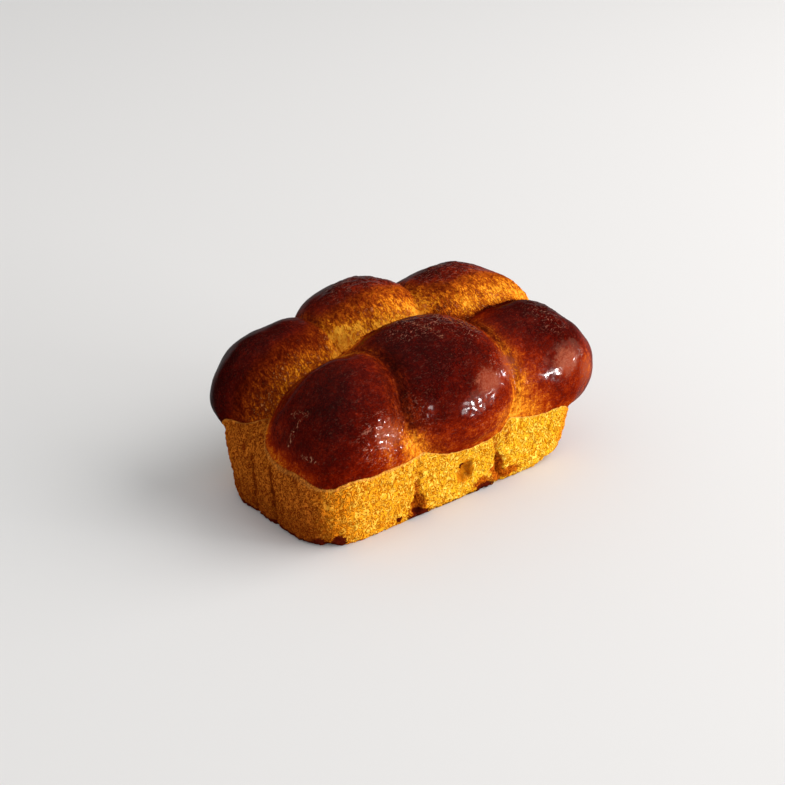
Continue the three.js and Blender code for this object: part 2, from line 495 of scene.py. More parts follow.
def seam_weights(skin):
    long_sides = [seam_weight(skin.x, skin.y, skin.z, TIN_HALF_WIDTH, **s) for s in LONG_SIDE_SEAMS]
    short_sides = [seam_weight(skin.y, skin.x, skin.z, TIN_HALF_LENGTH, **s) for s in SHORT_SIDE_SEAMS]
    fade = 1 - smooth_step(SEAM_TOP - SEAM_FADE, SEAM_TOP, skin.z)
    return np.max(long_sides + short_sides, axis=0) * fade * (1 - skin.crust)


in_valley = 1 - smooth_step(0, VALLEY_WIDTH, skin.valley)
above_floor = smooth_step(VALLEY_FLOOR, VALLEY_FLOOR + VALLEY_FADE, skin.z)
valley_group = paint(loaf, "valley", in_valley * above_floor)
smoothing = {"factor": SMOOTHING_FACTOR, "iterations": VALLEY_SMOOTHING}
apply_modifier(loaf, "SMOOTH", vertex_group=valley_group, **smoothing)
in_crease = (1 - smooth_step(0, CREASE_WIDTH, skin.crease)) * skin.crust
press(loaf, "creases", in_crease, CREASE_DEPTH)
press(loaf, "seams", seam_weights(skin), SEAM_DEPTH)
print("creases press in", int((in_crease > 0.2).sum()), "vertices")

# %% [markdown]
# ## Relief in the skin
# The domes are uneven, the egg-washed crust is wrinkled where it blistered, and the walls are lumpy crumb. A
# few low swellings are placed one by one, because they decide where a dome catches the light. The rest are
# Displace modifiers, each with its own cloud texture and painted weights.

# %% Raise the relief
SWELLINGS = {
    "near_left_cheek": {"place": (-56.0, -36.0, 38.0), "reach": (20, 16, 20), "height": 1.7},
    "near_middle_chin": {"place": (3.0, -43.0, 38.0), "reach": (24, 18, 22), "height": 2.0},
    "near_middle_crown": {"place": (6.0, -6.0, 71.0), "reach": (34, 22, 14), "height": 1.8},
    "near_right_chin": {"place": (52.0, -40.0, 37.0), "reach": (22, 18, 20), "height": 1.4},
}
RELIEF = [
    {"name": "domes", "size": 18.0, "height": 2.6, "depth": 1},
    {"name": "wrinkles", "size": 2.8, "height": 2.2, "depth": 2},
    {"name": "crumb", "size": 2.2, "height": 3.2, "depth": 2},
]
WRINKLES_EVERYWHERE = 0.1
WRINKLES_AT_BLISTERS = 0.6
BLISTERS_ABOVE = (0, 2)
BLISTER_CORE = 0.5
BLISTERED = [
    {"place": (-41.0, -38.0, 43.0), "reach": (15, 15, 14), "strength": 1.2},
    {"place": (-26.0, -36.0, 44.0), "reach": (9, 12, 18), "strength": 0.9},
    {"place": (0.0, -10.0, 72.0), "reach": (26, 12, 6), "strength": 1.3},
    {"place": (8.0, -42.0, 43.0), "reach": (16, 14, 9), "strength": 0.28},
    {"place": (23.0, -36.0, 57.0), "reach": (9, 9, 10), "strength": 0.6},
    {"place": (54.0, -38.0, 43.0), "reach": (16, 14, 8), "strength": 0.15},
    {"place": (17.0, -17.0, 68.0), "reach": (12, 14, 7), "strength": 1.2},
    {"place": (62.0, -22.0, 63.0), "reach": (16, 16, 9), "strength": 0.8},
    {"place": (2.0, 30.0, 76.0), "reach": (28, 22, 8), "strength": 1.0},
    {"place": (46.0, 22.0, 73.0), "reach": (26, 18, 6), "strength": 1.0},
]


def clouds(name, size, depth):
    texture = bpy.data.textures.new(name, "CLOUDS")
    texture.noise_scale = size * MM
    texture.noise_depth = depth
    texture.noise_basis = "IMPROVED_PERLIN"
    return texture


def raise_relief(piece, name, size, height, depth, weights, stretch=(1, 1, 1)):
    """Moves the skin along its normals by clouds of a size, both ways, by up to half a height."""
    bpy.ops.object.empty_add()
    ruler = bpy.context.object
    ruler.scale = stretch
    bpy.context.view_layer.update()
    apply_modifier(
        piece,
        "DISPLACE",
        texture=clouds(name, size, depth),
        texture_coords="OBJECT",
        texture_coords_object=ruler,
        strength=height * MM,
        mid_level=0.5,
        vertex_group=paint(piece, name, weights),
    )
    bpy.data.objects.remove(ruler)


def strongest_spot(skin, spots, core=0.3):
    """The strongest of some spots on the skin, each of strength 1 at its middle unless it names another."""
    weights = [s.get("strength", 1) * skin.closeness(s["place"], s["reach"], core) for s in spots]
    return np.max(weights, axis=0)


def blisters(skin):
    """How strongly the crust blistered, which is about 1 at its worst."""
    return strongest_spot(skin, BLISTERED, core=BLISTER_CORE) * smooth_step(*BLISTERS_ABOVE, skin.wall)


for name, swelling in SWELLINGS.items():
    press(loaf, name, skin.closeness(swelling["place"], swelling["reach"], 0), -swelling["height"])
weights = {
    "domes": skin.crust,
    "wrinkles": skin.crust * (WRINKLES_EVERYWHERE + WRINKLES_AT_BLISTERS * blisters(skin)),
    "crumb": 1 - skin.crust,
}
for relief in RELIEF:
    raise_relief(loaf, weights=weights[relief["name"]], **relief)
    print(relief["name"], "relief of", relief["height"], "mm")

# %% [markdown]
# ## Fibres in the valleys
# Where two balls rose against each other the skin is torn into short strands, which run down the flanks of
# the rows and along the creases. Their clouds are stretched that way, by reading the texture from a scaled
# empty.

# %% Tear the fibres
FIBRE_SIZE = 1.3
FIBRE_HEIGHT = 2.0
FIBRE_STRETCH = 2.2
CREASE_REACH = 6.0
ALONG_THE_FIBRES = (1, FIBRE_STRETCH, FIBRE_STRETCH)
CREASE_SHARE = 0.4
TORN_FLANK = 26.0
VALLEY_CORE = 0.2
CREASE_CORE = 1.0


def row_fibres(skin):
    """1 deep in the valley between the rows, fading up the flank of the far row and soon on the near row."""
    reach = np.where(skin.in_near_row, CREASE_REACH / 2, TORN_FLANK)
    return (1 - smooth_step(VALLEY_CORE * reach, reach, skin.valley)) * skin.crust


def crease_fibres(skin):
    return (1 - smooth_step(CREASE_CORE, CREASE_REACH, skin.crease)) * skin.crust * (1 - row_fibres(skin))


fibres = row_fibres(skin) + CREASE_SHARE * crease_fibres(skin)
raise_relief(loaf, "fibres", FIBRE_SIZE, FIBRE_HEIGHT, 1, fibres, ALONG_THE_FIBRES)
print("fibres cover", int((fibres > 0.2).sum()), "vertices")

# %% [markdown]
# ## The flat base
# The loaf stands on the face that lay on the tin's floor. The block was made a little too deep, so one level
# cut trims the base and leaves its edge as ragged as the crumb.

# %% Trim the base
only(loaf)
bpy.ops.object.mode_set(mode="EDIT")
bpy.ops.mesh.select_all(action="SELECT")
bpy.ops.mesh.bisect(plane_co=(0, 0, 0), plane_no=(0, 0, 1), use_fill=True, clear_inner=True)
bpy.ops.mesh.quads_convert_to_tris(ngon_method="BEAUTY")
bpy.ops.object.mode_set(mode="OBJECT")
bpy.ops.object.shade_smooth()
loaf.vertex_groups.clear()
print("loaf spans", [round(v / MM, 1) for v in loaf.dimensions], "mm,", len(loaf.data.polygons), "triangles")

# %% [markdown]
# ## How the loaf browned, with painted sheen and shade
# The oven browned the domes from above, and a little more on one side than on the other, and it hardly
# reached the creases. So each ball has a browning at its middle and a change towards its right, far and top
# sides, and it pales or darkens towards some neighbours: by an amount, over a reach in millimetres. Where it
# darkens, in the valley behind the near row, that is painted shade. A few spots stayed paler, a few paler
# spots are painted sheen where a window is mirrored on the near domes, and one darker spot is painted shade
# in that valley. The result is worked out once for each vertex and stored as an attribute, which the finish
# reads.

# %% Brown the crust
BROWNING = {
    "near_left": {"middle": 0.01, "change": (-0.50, -0.28, 0.76)},
    "near_middle": {"middle": 0.05, "change": (-0.25, -0.52, 0.82)},
    "near_right": {"middle": 0.36, "change": (0.00, -0.20, 0.64)},
    "far_left": {"middle": 0.90, "change": (-0.08, 0.52, 0.03)},
    "far_middle": {"middle": 0.36, "change": (-0.18, 0.70, 0.36)},
    "far_right": {"middle": 0.58, "change": (-0.12, 0.88, 0.05)},
}
# Negative amounts darken the valley behind the near row: painted shade.
PALING_AND_VALLEY_SHADE = {
    ("near_left", "far_left"): {"amount": 0.14, "reach": 7},
    ("near_middle", "near_left"): {"amount": 0.20, "reach": 3},
    ("near_middle", "near_right"): {"amount": 0.12, "reach": 9},
    ("near_right", "near_middle"): {"amount": 0.52, "reach": 11},
    ("near_right", "far_right"): {"amount": -0.20, "reach": 5},
    ("far_left", "near_left"): {"amount": 0.22, "reach": 13},
    ("far_left", "far_middle"): {"amount": 0.36, "reach": 4},
    ("far_middle", "near_left"): {"amount": 0.36, "reach": 14},
    ("far_middle", "far_left"): {"amount": 0.29, "reach": 6},
    ("far_right", "far_middle"): {"amount": 0.47, "reach": 6},
    ("far_right", "near_right"): {"amount": -0.45, "reach": 3},
    ("far_right", "near_middle"): {"amount": -0.30, "reach": 2},
}
END_PALING = {"amount": 0.32, "reach": 1.8}
LOWEST_SIDE = -0.1
DARKEST = 1.2
LIGHTEST = -0.1
SPOT_CORE = 0.1
NEAR_ROW_BACK = 0.1
# The first three are paler spots of the crust's own colour; the fourth and the last three are painted sheen
# where a window is mirrored on the near domes; the fifth, with a negative amount, is painted shade in the
# valley behind the near row.
PALE_SHEEN_AND_SHADE_SPOTS = [
    {"place": (-26.0, -38.0, 38.0), "reach": (11, 12, 11), "amount": 0.36},
    {"place": (-21.0, 8.0, 62.0), "reach": (12, 11, 9), "amount": 0.62},
    {"place": (28.0, -32.0, 52.0), "reach": (14, 14, 18), "amount": 0.15},
    {"place": (72.0, -30.0, 42.0), "reach": (14, 16, 14), "amount": 0.40},
    {"place": (27.0, 4.0, 60.0), "reach": (13, 13, 12), "amount": -0.45},
    {"place": (-43.0, -38.0, 43.0), "reach": (12, 12, 11), "amount": 0.28},
    {"place": (12.8, -39.9, 52.4), "reach": (12, 12, 10), "amount": 0.14},
    {"place": (58.5, -38.0, 47.2), "reach": (13, 13, 11), "amount": 0.16},
]


def fading(off, amount, reach):
    return amount * np.exp(-((off / reach) ** 2))


def ball_browning(skin, name):
    """How brown the skin would be if all of it lay on one ball, before it is kept within limits."""
    sizes = BALLS[name]
    away = skin.points - np.array(sizes["middle"])
    upright = np.where(away[:, 2] < 0, sizes["down"], sizes["reach"][2])
    up = np.maximum(away[:, 2] / upright, LOWEST_SIDE)
    right, back = (away[:, :2] / np.array(sizes["reach"][:2])).T
    if name.startswith("near"):
        back = np.minimum(back, NEAR_ROW_BACK)
    sides = np.column_stack([right, back, up])
    brown = BROWNING[name]["middle"] + sides @ np.array(BROWNING[name]["change"])
    own = skin.balls[skin.names.index(name)]
    # Negative amounts here are painted shade in the valley behind the near row.
    for (ball, neighbour), neighbour_fading in PALING_AND_VALLEY_SHADE.items():
        if ball == name:
            brown -= fading(skin.balls[skin.names.index(neighbour)] - own, **neighbour_fading)
    return brown


def browning(skin):
    """0 where the crust stayed golden and 1 where it is nearly black."""
    every_ball = np.array([ball_browning(skin, name) for name in skin.names])
    own = np.take_along_axis(every_ball, skin.nearest[None, :], axis=0)[0]
    for spot in PALE_SHEEN_AND_SHADE_SPOTS:
        own = own - spot["amount"] * skin.closeness(spot["place"], spot["reach"], SPOT_CORE)
    own = own - skin.soft_end * skin.in_near_row * fading(skin.above_edge, **END_PALING)
    return np.clip(own, LIGHTEST, DARKEST)


skin = Skin(loaf)
skin.crust = stored(loaf, "crust")
# The stored browning carries the painted sheen spots and the painted valley shade.
brown = browning(skin)
store(loaf, "brown", brown)
store(loaf, "blistered", blisters(skin))
store(loaf, "row_fibres", row_fibres(skin))
store(loaf, "crease_fibres", crease_fibres(skin))
print("mean browning of the crust", round(float(brown[skin.crust > 0.5].mean()), 2))

# %% [markdown]
# ## Burnt edges, browner ends and painted shade
# The edge of the base and the notches in it baked dark against the tin, and the pit shows a smooth orange
# floor. The short ends are browner than the long sides, partly their own colour and partly painted shade of
# the end that faces away from the light, and they are darker towards the bottom. The wall turns orange
# towards its left end, which is partly painted shade too. These too are stored as attributes.

# %% Mark the walls
RIM_HEIGHT = 2.6
RIM_FULL_BELOW = 0.3
UNBURNT_REACH = (34, 34, 34)
PIT_CORE = 0.8
RIM_ON_LONG_SIDES = 0.4
END_TURNS = (2, 72)
END_LOW = (3, 20)
PIT_MARGIN = 1.3
# From orange at the shaded left to yellow at the right: partly painted shade.
YELLOW_TURNS = (-60, 30)
BURNT_SPOTS = [
    {"place": (-66.2, -27.2, 0.6), "reach": (4.6, 4.6, 5.0)},
    {"place": (-60.4, -32.6, 1.6), "reach": (5.0, 5.0, 6.0)},
    {"place": (-20.5, -35.0, 0.5), "reach": (9.0, 6.0, 5.4)},
    {"place": (-31.8, -36.0, 3.2), "reach": (2.4, 3.0, 2.0)},
    {"place": (15.0, -35.5, 0.5), "reach": (8.0, 5.0, 4.4)},
    {"place": (0.4, -37.6, 17.4), "reach": (3.0, 4.0, 2.2)},
    {"place": (21.8, -37.0, 9.0), "reach": (2.6, 3.0, 5.0)},
    {"place": (-70.0, -6.0, 0.0), "reach": (4.0, 18.0, 3.4)},
]
SCORCHED_SPOTS = [
    {"place": (-22.0, -36.0, 5.0), "reach": (7.0, 6.0, 10.0)},
    {"place": (21.4, -36.0, 9.0), "reach": (6.0, 6.0, 9.0)},
    {"place": (26.0, -36.5, 4.0), "reach": (14.0, 5.0, 4.0)},
    {"place": (13.0, -36.5, 4.0), "reach": (6.0, 5.0, 5.0)},
    {"place": (-42.0, -37.0, 11.0), "reach": (12.0, 6.0, 9.0), "strength": 0.3},
    {"place": (24.0, -38.9, 25.0), "reach": (6.0, 6.0, 10.0), "strength": 0.4},
]


filled = 1 - skin.closeness((TIN_HALF_LENGTH, -TIN_HALF_WIDTH, 0), UNBURNT_REACH)
along = np.abs(skin.x) - (TIN_HALF_LENGTH - TIN_CORNER_RADIUS)
across = np.maximum(np.abs(skin.y) - (TIN_HALF_WIDTH - TIN_CORNER_RADIUS), 0)
# Browner round the corners and on the short ends: partly their own colour, partly painted shade.
end = smooth_step(*END_TURNS, np.degrees(np.arctan2(along, across)))
rim_strength = RIM_ON_LONG_SIDES + (1 - RIM_ON_LONG_SIDES) * end
rim = (1 - smooth_step(RIM_FULL_BELOW, RIM_HEIGHT, skin.z)) * filled * rim_strength
pit = BITES["wall_pit"]
store(loaf, "burnt", np.maximum(rim, strongest_spot(skin, BURNT_SPOTS)))
store(loaf, "low_end", end * (1 - smooth_step(*END_LOW, skin.z)))
store(loaf, "scorched", strongest_spot(skin, SCORCHED_SPOTS))
store(loaf, "pit", skin.closeness(pit["middle"], np.array(pit["reach"]) * PIT_MARGIN, PIT_CORE))
store(loaf, "seam", seam_weights(skin))
store(loaf, "end", end)
store(loaf, "yellow", smooth_step(*YELLOW_TURNS, skin.x))
print("burnt edge covers", int((rim > 0.3).sum()), "vertices")

# %% [markdown]
# ## Where the egg wash is thin, and the painted sheen and glints
# The egg wash is thin along the edge of the crust and in the valley between the rows. A few pale pinkish
# patches are painted sheen, the reflection of a warm window on the near domes, and a few pale lines are
# partly scratches and partly painted glints. They could be painted on the mesh by hand, but places and
# reaches in millimetres are easier to move, so they are stored in the same way.

# %% Mark the crust
GLAZED_ABOVE = (0.8, 4.0)
GLAZED_OFF_VALLEY = (4.0, 16.0)
FAR_ROW_GLAZE = 0.8
PAINTED_SHEEN_CORE = 0.1
# Painted sheen: pale pinkish patches where a warm window is mirrored on the near domes.
PAINTED_SHEEN_PATCHES = [
    {"place": (-39.0, -38.0, 45.0), "reach": (10, 9, 11), "strength": 0.95},
    {"place": (12.0, -39.6, 53.4), "reach": (11, 11, 9), "strength": 0.9},
    {"place": (58.5, -37.6, 46.8), "reach": (13, 12, 10), "strength": 1.0},
    {"place": (70.4, -38.0, 39.0), "reach": (11, 12, 12), "strength": 0.7},
    {"place": (27.5, -34.5, 54.0), "reach": (9, 10, 12), "strength": 0.7},
]
# Pale lines: the first three are scratches on the left near dome; the last three, on the top of the middle
# near dome, are painted glints of light mirrored on its wrinkles.
SCRATCHES_AND_GLINTS = [
    {"start": (-65.0, -10.0, 51.4), "end": (-63.0, -16.6, 53.6), "width": (5, 1.8, 1.8)},
    {"start": (-65.0, -15.0, 51.0), "end": (-69.0, -14.1, 41.0), "width": (5, 1.8, 1.8)},
    {"start": (-69.0, -22.8, 39.6), "end": (-67.9, -28.0, 39.4), "width": (5, 1.5, 1.5)},
    {"start": (-2.4, -10.4, 72.0), "end": (-0.6, -16.0, 72.0), "width": (2.0, 2.0, 5)},
    {"start": (0.4, -18.0, 71.0), "end": (1.0, -22.8, 70.0), "width": (1.6, 1.8, 5)},
    {"start": (4.0, 0.0, 69.0), "end": (14.0, -12.0, 70.0), "width": (2.0, 2.0, 5)},
]

store(loaf, "dull", strongest_spot(skin, PAINTED_SHEEN_PATCHES, core=PAINTED_SHEEN_CORE))
glaze = np.where(skin.in_near_row, smooth_step(*GLAZED_OFF_VALLEY, skin.valley), FAR_ROW_GLAZE)
store(loaf, "glazed", glaze * smooth_step(*GLAZED_ABOVE, skin.above_edge))
scratches_and_glints = [skin.line_closeness(**scratch) for scratch in SCRATCHES_AND_GLINTS]
store(loaf, "scratch", np.max(scratches_and_glints, axis=0) * skin.crust)
print(len(PAINTED_SHEEN_PATCHES), "dull patches and", len(SCRATCHES_AND_GLINTS), "scratches_and_glints")

# %% [markdown]
# ## A way to write finishes
# A finish is a tree of nodes. Wrapping a socket in a small class lets sums and products be written as plain
# expressions, and one method adds any other node, so a finish reads like a recipe.

# %% Wrap the sockets
class Layer:
    """One output of a node tree. Arithmetic on layers adds Math nodes to the tree."""

    def __init__(self, tree, socket=None):
        self.tree = tree
        self.socket = socket

    def node(self, kind, settings=None, inputs=None, output=0):
        """Adds a node, sets its settings, then gives its sockets values or links."""
        node = self.tree.nodes.new(kind)
        for name, value in (settings or {}).items():
            if name == "stops":
                set_stops(node.color_ramp, value)
            else:
                setattr(node, name, value)
        for name, value in (inputs or {}).items():
            socket = find_socket(node.inputs, name)
            if isinstance(value, Layer):
                self.tree.links.new(value.socket, socket)
            else:
                socket.default_value = value
        return Layer(self.tree, find_socket(node.outputs, output))

    def math(self, operation, a, b):
        return self.node("ShaderNodeMath", {"operation": operation}, {0: a, 1: b})

    def __add__(self, other):
        return self.math("ADD", self, other)

    def __sub__(self, other):
        return self.math("SUBTRACT", self, other)

    def __rsub__(self, other):
        return self.math("SUBTRACT", other, self)

    def __mul__(self, other):
        return self.math("MULTIPLY", self, other)

    __radd__ = __add__
    __rmul__ = __mul__

    def step(self, low, high):
        """0 below a value, 1 above another, and smooth between them."""
        limits = {"Value": self, "From Min": low, "From Max": high}
        return self.node("ShaderNodeMapRange", {"interpolation_type": "SMOOTHSTEP"}, limits, "Result")

    def mix(self, under, over, blend="MIX"):
        """The colour under, with the colour over it, or blended with it, where this layer is 1."""
        colours = {"Factor_Float": self, "A_Color": under, "B_Color": over}
        return self.node("ShaderNodeMix", {"data_type": "RGBA", "blend_type": blend}, colours, "Result_Color")

    def attribute(self, name):
        return self.node("ShaderNodeAttribute", {"attribute_name": name}, output="Fac")

    def noise(self, size, stretch=(1, 1, 1), detail=2.0, roughness=0.5, distortion=0.0):
        """Clouds about 0.5, with lumps of a size in mm, on the piece's own coordinates."""
        scale = [1 / (MM * size * s) for s in stretch]
        place = self.node("ShaderNodeTexCoord", output="Object")
        place = self.node("ShaderNodeVectorMath", {"operation": "MULTIPLY"}, {0: place, 1: scale})
        settings = {"Vector": place, "Scale": 1.0, "Detail": detail, "Roughness": roughness}
        settings["Distortion"] = distortion
        return self.node("ShaderNodeTexNoise", {}, settings, "Fac")


def find_socket(sockets, key):
    """A socket by its number, its identifier or its name."""
    if isinstance(key, int):
        return sockets[key]
    named = [s for s in sockets if s.identifier == key] or [s for s in sockets if s.name == key]
    return named[0]


def set_stops(ramp, stops):
    while len(ramp.elements) < len(stops):
        ramp.elements.new(1)
    for element, (place, colour) in zip(ramp.elements, stops):
        element.position = place
        element.color = colour


def colour(red, green, blue):
    """A colour as a screen shows it, from 0 to 255, in the linear values that nodes use."""
    screen = np.array([red, green, blue]) / 255
    linear = np.where(screen < 0.04045, screen / 12.92, ((screen + 0.055) / 1.055) ** 2.4)
    return (*linear.tolist(), 1)


def new_finish(name):
    """A new material, as its shader node and an empty layer to build on."""
    material = bpy.data.materials.new(name)
    material.use_nodes = True
    tree = material.node_tree
    return material, tree.nodes["Principled BSDF"], Layer(tree)


def feed(shader, name, layer):
    layer.tree.links.new(layer.socket, shader.inputs[name])


print("finishes can now be written as expressions")

# %% [markdown]
# ## Cloudy layers
# No mark on bread has a clean edge. It could be painted ragged by hand, but here three layers of clouds, from
# broad mottling to fine grain, and the strands of the torn flanks are made first. Shares of them are then
# added to each mark before its edge is drawn, which roughens it.

# %% Make the cloudy layers
CLOUDY_LAYERS = {
    "mottling": {"size": 7, "detail": 4, "roughness": 0.6},
    "ragged": {"size": 2.4, "detail": 3, "roughness": 0.6},
    "grain": {"size": 1.1, "detail": 3, "roughness": 0.6, "distortion": 1.0},
}
CLOUD_MIDDLE = 0.5
STRAND_CLOUDS = {"size": 1.1, "stretch": (1, 2.4, 2.4), "detail": 3, "roughness": 0.65, "distortion": 1.2}
STRAND_EDGES = (0.34, 0.66)
STRANDS_IN_CREASES = 0.6
ROUGHENED = {
    "crust": {"grain": 0.3},
    "brown": {"strands": 0.5, "mottling": 0.8, "ragged": 0.4, "grain": 0.9},
    "dull": {"mottling": 0.8, "ragged": 1.0, "grain": 1.2},
    "end": {"mottling": 0.5},
    "seam": {"grain": 0.7, "ragged": 0.5},
    "scorched": {"grain": 1.0, "ragged": 1.4},
    "burnt": {"grain": 1.2, "ragged": 1.0},
}

baked, shader, start = new_finish("baked_crust")
rows = start.attribute("row_fibres")
creases = start.attribute("crease_fibres")
blistered = start.attribute("blistered")
uneven = {name: start.noise(**settings) - CLOUD_MIDDLE for name, settings in CLOUDY_LAYERS.items()}
strand_noise = start.noise(**STRAND_CLOUDS).step(*STRAND_EDGES)
uneven["strands"] = (strand_noise - CLOUD_MIDDLE) * (rows + creases * STRANDS_IN_CREASES)


def roughened(name, mark=None):
    """A mark that is stored on the skin, or one that is given, with its shares of the cloudy layers added."""
    mark = start.attribute(name) if mark is None else mark
    for layer, share in ROUGHENED[name].items():
        mark = mark + uneven[layer] * share
    return mark


print("cloudy layers:", list(uneven))

# %% [markdown]
# ## The colour of the crust
# One finish covers the loaf. Its crust runs from golden through amber and chestnut to almost black mahogany
# as it browns. A ramp gives each browning its shade, where mixing two colours would miss the red in between.
# The torn strands have pale tips, and the egg wash deepens what it covers. A few pale pinkish patches are
# painted sheen, and the pale flecks and lines on top are partly real flecks and scratches, partly painted
# glints.

# %% Colour the crust
CRUST_EDGES = (0.42, 0.58)
PALEST = -0.2
CRUST_STOPS = [
    (PALEST, (1.0, 0.42, 0.034, 1)),
    (0.0, (0.80, 0.24, 0.009, 1)),
    (0.2, (0.45, 0.090, 0.005, 1)),
    (0.4, (0.25, 0.037, 0.003, 1)),
    (0.6, (0.138, 0.013, 0.002, 1)),
    (0.8, (0.077, 0.0055, 0.0010, 1)),
    (1.0, (0.042, 0.0020, 0.0006, 1)),
    (DARKEST, (0.022, 0.0010, 0.0004, 1)),
]
PALE_TIP = (1.0, 0.36, 0.100, 1)
TIP_EDGES = (0.42, 0.6)
TIP_SHARE = 0.5
GLAZE = (1.0, 0.48, 0.36, 1)
GLAZE_EDGES = (0.1, 0.5)
TORN_ROWS = (0.05, 0.4)
CREASES_DULLED = 0.7
# Painted sheen: the pale pinkish colour of those patches.
PAINTED_SHEEN = (0.32, 0.072, 0.034, 1)
PAINTED_SHEEN_EDGES = (0.2, 0.9)
PAINTED_SHEEN_SHARE = 0.6
PAINTED_SHEEN_GRAIN = 1.6

crust_mark = roughened("crust")
crust = crust_mark.step(*CRUST_EDGES)
browned = roughened("brown")
stops = [((brown - PALEST) / (DARKEST - PALEST), shade) for brown, shade in CRUST_STOPS]
browned_place = (browned - PALEST) * (1 / (DARKEST - PALEST))
crust_colour = start.node("ShaderNodeValToRGB", {"stops": stops}, {"Fac": browned_place}, "Color")
tips = (uneven["strands"] + uneven["grain"]).step(*TIP_EDGES) * TIP_SHARE
crust_colour = tips.mix(crust_colour, PALE_TIP)
shiny = crust * (1 - rows.step(*TORN_ROWS)) * (1 - creases * CREASES_DULLED)
crust_colour = (shiny * browned.step(*GLAZE_EDGES)).mix(crust_colour, GLAZE, "MULTIPLY")
# The painted sheen, ragged and grainy, laid over the crust's colour.
dull = roughened("dull").step(*PAINTED_SHEEN_EDGES) * (PAINTED_SHEEN_SHARE + uneven["grain"] * PAINTED_SHEEN_GRAIN)
crust_colour = dull.mix(crust_colour, PAINTED_SHEEN)
print("the crust browns over", len(stops), "shades")

# %% Fleck and line the crust, partly with painted glints
# Pale flecks on the shiny crust, thickest where it blistered: partly pale wrinkles of the egg wash, partly
# painted glints, and pinkish painted sheen on the paler crust.
FLECK_GLINT = (0.46, 0.20, 0.13, 1)
PINK_SHEEN_FLECK = (1.0, 0.52, 0.30, 1)
FLECK_CLOUDS = {"size": 1.0, "stretch": (2.6, 1, 1), "detail": 2, "roughness": 0.6, "distortion": 1.8}
FLECK_EDGES = (0.58, 0.66)
FLECKS_DARKEN = (0.0, 0.5)
FLECKS_EVERYWHERE = 0.06
FLECKS_AT_BLISTERS = 0.40
SCRATCH_AND_GLINT = (0.52, 0.22, 0.12, 1)
SCRATCH_GLINT_CLOUDS = {"size": 1.6, "stretch": (1, 1, 2), "detail": 2, "roughness": 0.7, "distortion": 2.0}
SCRATCH_GLINT_GAPS = (0.55, 0.66)
SCRATCH_GLINT_SHARE = 0.7
SCRATCH_GLINT_EDGES = (0.3, 1.0)

flecks_and_glints = start.noise(**FLECK_CLOUDS).step(*FLECK_EDGES) * shiny
fleck_glint_share = FLECKS_EVERYWHERE + blistered * FLECKS_AT_BLISTERS
fleck_glint_colour = browned.step(*FLECKS_DARKEN).mix(PINK_SHEEN_FLECK, FLECK_GLINT)
crust_colour = (flecks_and_glints * fleck_glint_share).mix(crust_colour, fleck_glint_colour)
# The pale lines, partly painted glints, are broken up by a stretched cloud.
torn = start.noise(**SCRATCH_GLINT_CLOUDS).step(*SCRATCH_GLINT_GAPS) * SCRATCH_GLINT_SHARE
crust_colour = (start.attribute("scratch").step(*SCRATCH_GLINT_EDGES) * torn).mix(crust_colour, SCRATCH_AND_GLINT)
print("the crust's colour takes", len(baked.node_tree.nodes), "nodes")

# %% [markdown]
# ## The colour of the wall
# The tin kept the wall golden: crumb with pale crests and thin dark pores, the crests painted highlight and
# the pores partly painted shade. It is orange at the left and yellow at the right, and browner round the
# corners and on the short ends, partly its own colour and partly painted shade of the side away from the
# light. The pores could be cells of a Voronoi texture, but bread tears along winding lines, so they are drawn
# where a cloud crosses its middle value. Dark seams, scorched spots, the pit and the burnt rim are laid over
# it; on the short ends the dark seams are painted shade in their grooves, and a pale band along the crust's
# edge is a painted highlight.

# %% Colour the wall
LUMP_CLOUDS = {"size": 1.9, "stretch": (1, 1, 1.3), "detail": 2, "roughness": 0.6, "distortion": 1.6}
PORE_EDGES = (0.0, 0.004)
# Painted highlight on the crests of the crumb's lumps; the dark pores are partly painted shade.
CREST_HIGHLIGHT_EDGES = (0.52, 0.66)
# Orange towards the shaded left and yellow towards the right: the orange is partly painted shade.
ORANGE_RIDGE = (1.0, 0.43, 0.016, 1)
ORANGE_CREST_HIGHLIGHT = (1.0, 0.61, 0.075, 1)
ORANGE_PORE = (0.46, 0.100, 0.001, 1)
YELLOW_RIDGE = (1.0, 0.51, 0.022, 1)
YELLOW_CREST_HIGHLIGHT = (1.0, 0.73, 0.105, 1)
YELLOW_PORE = (0.50, 0.145, 0.001, 1)
# Browner round the corners and on the short ends: partly their own colour, partly painted shade.
CORNER_RIDGE = (1.0, 0.32, 0.010, 1)
CORNER_CREST_HIGHLIGHT = (1.0, 0.47, 0.040, 1)
CORNER_EDGES = (0.0, 0.35)
END_RIDGE = (0.56, 0.145, 0.013, 1)
END_PORE = (0.16, 0.018, 0.001, 1)
END_EDGES = (0.3, 1.0)
END_STREAK = (0.20, 0.026, 0.002, 1)
STREAK_CLOUDS = {"size": 1.8, "stretch": (1, 1, 5), "detail": 2, "roughness": 0.6}
STREAK_EDGES = (0.52, 0.66)
STREAK_SHARE = 0.6
LOW_END_SHARE = 0.5

lumps = start.noise(**LUMP_CLOUDS)
off_lump = lumps - CLOUD_MIDDLE
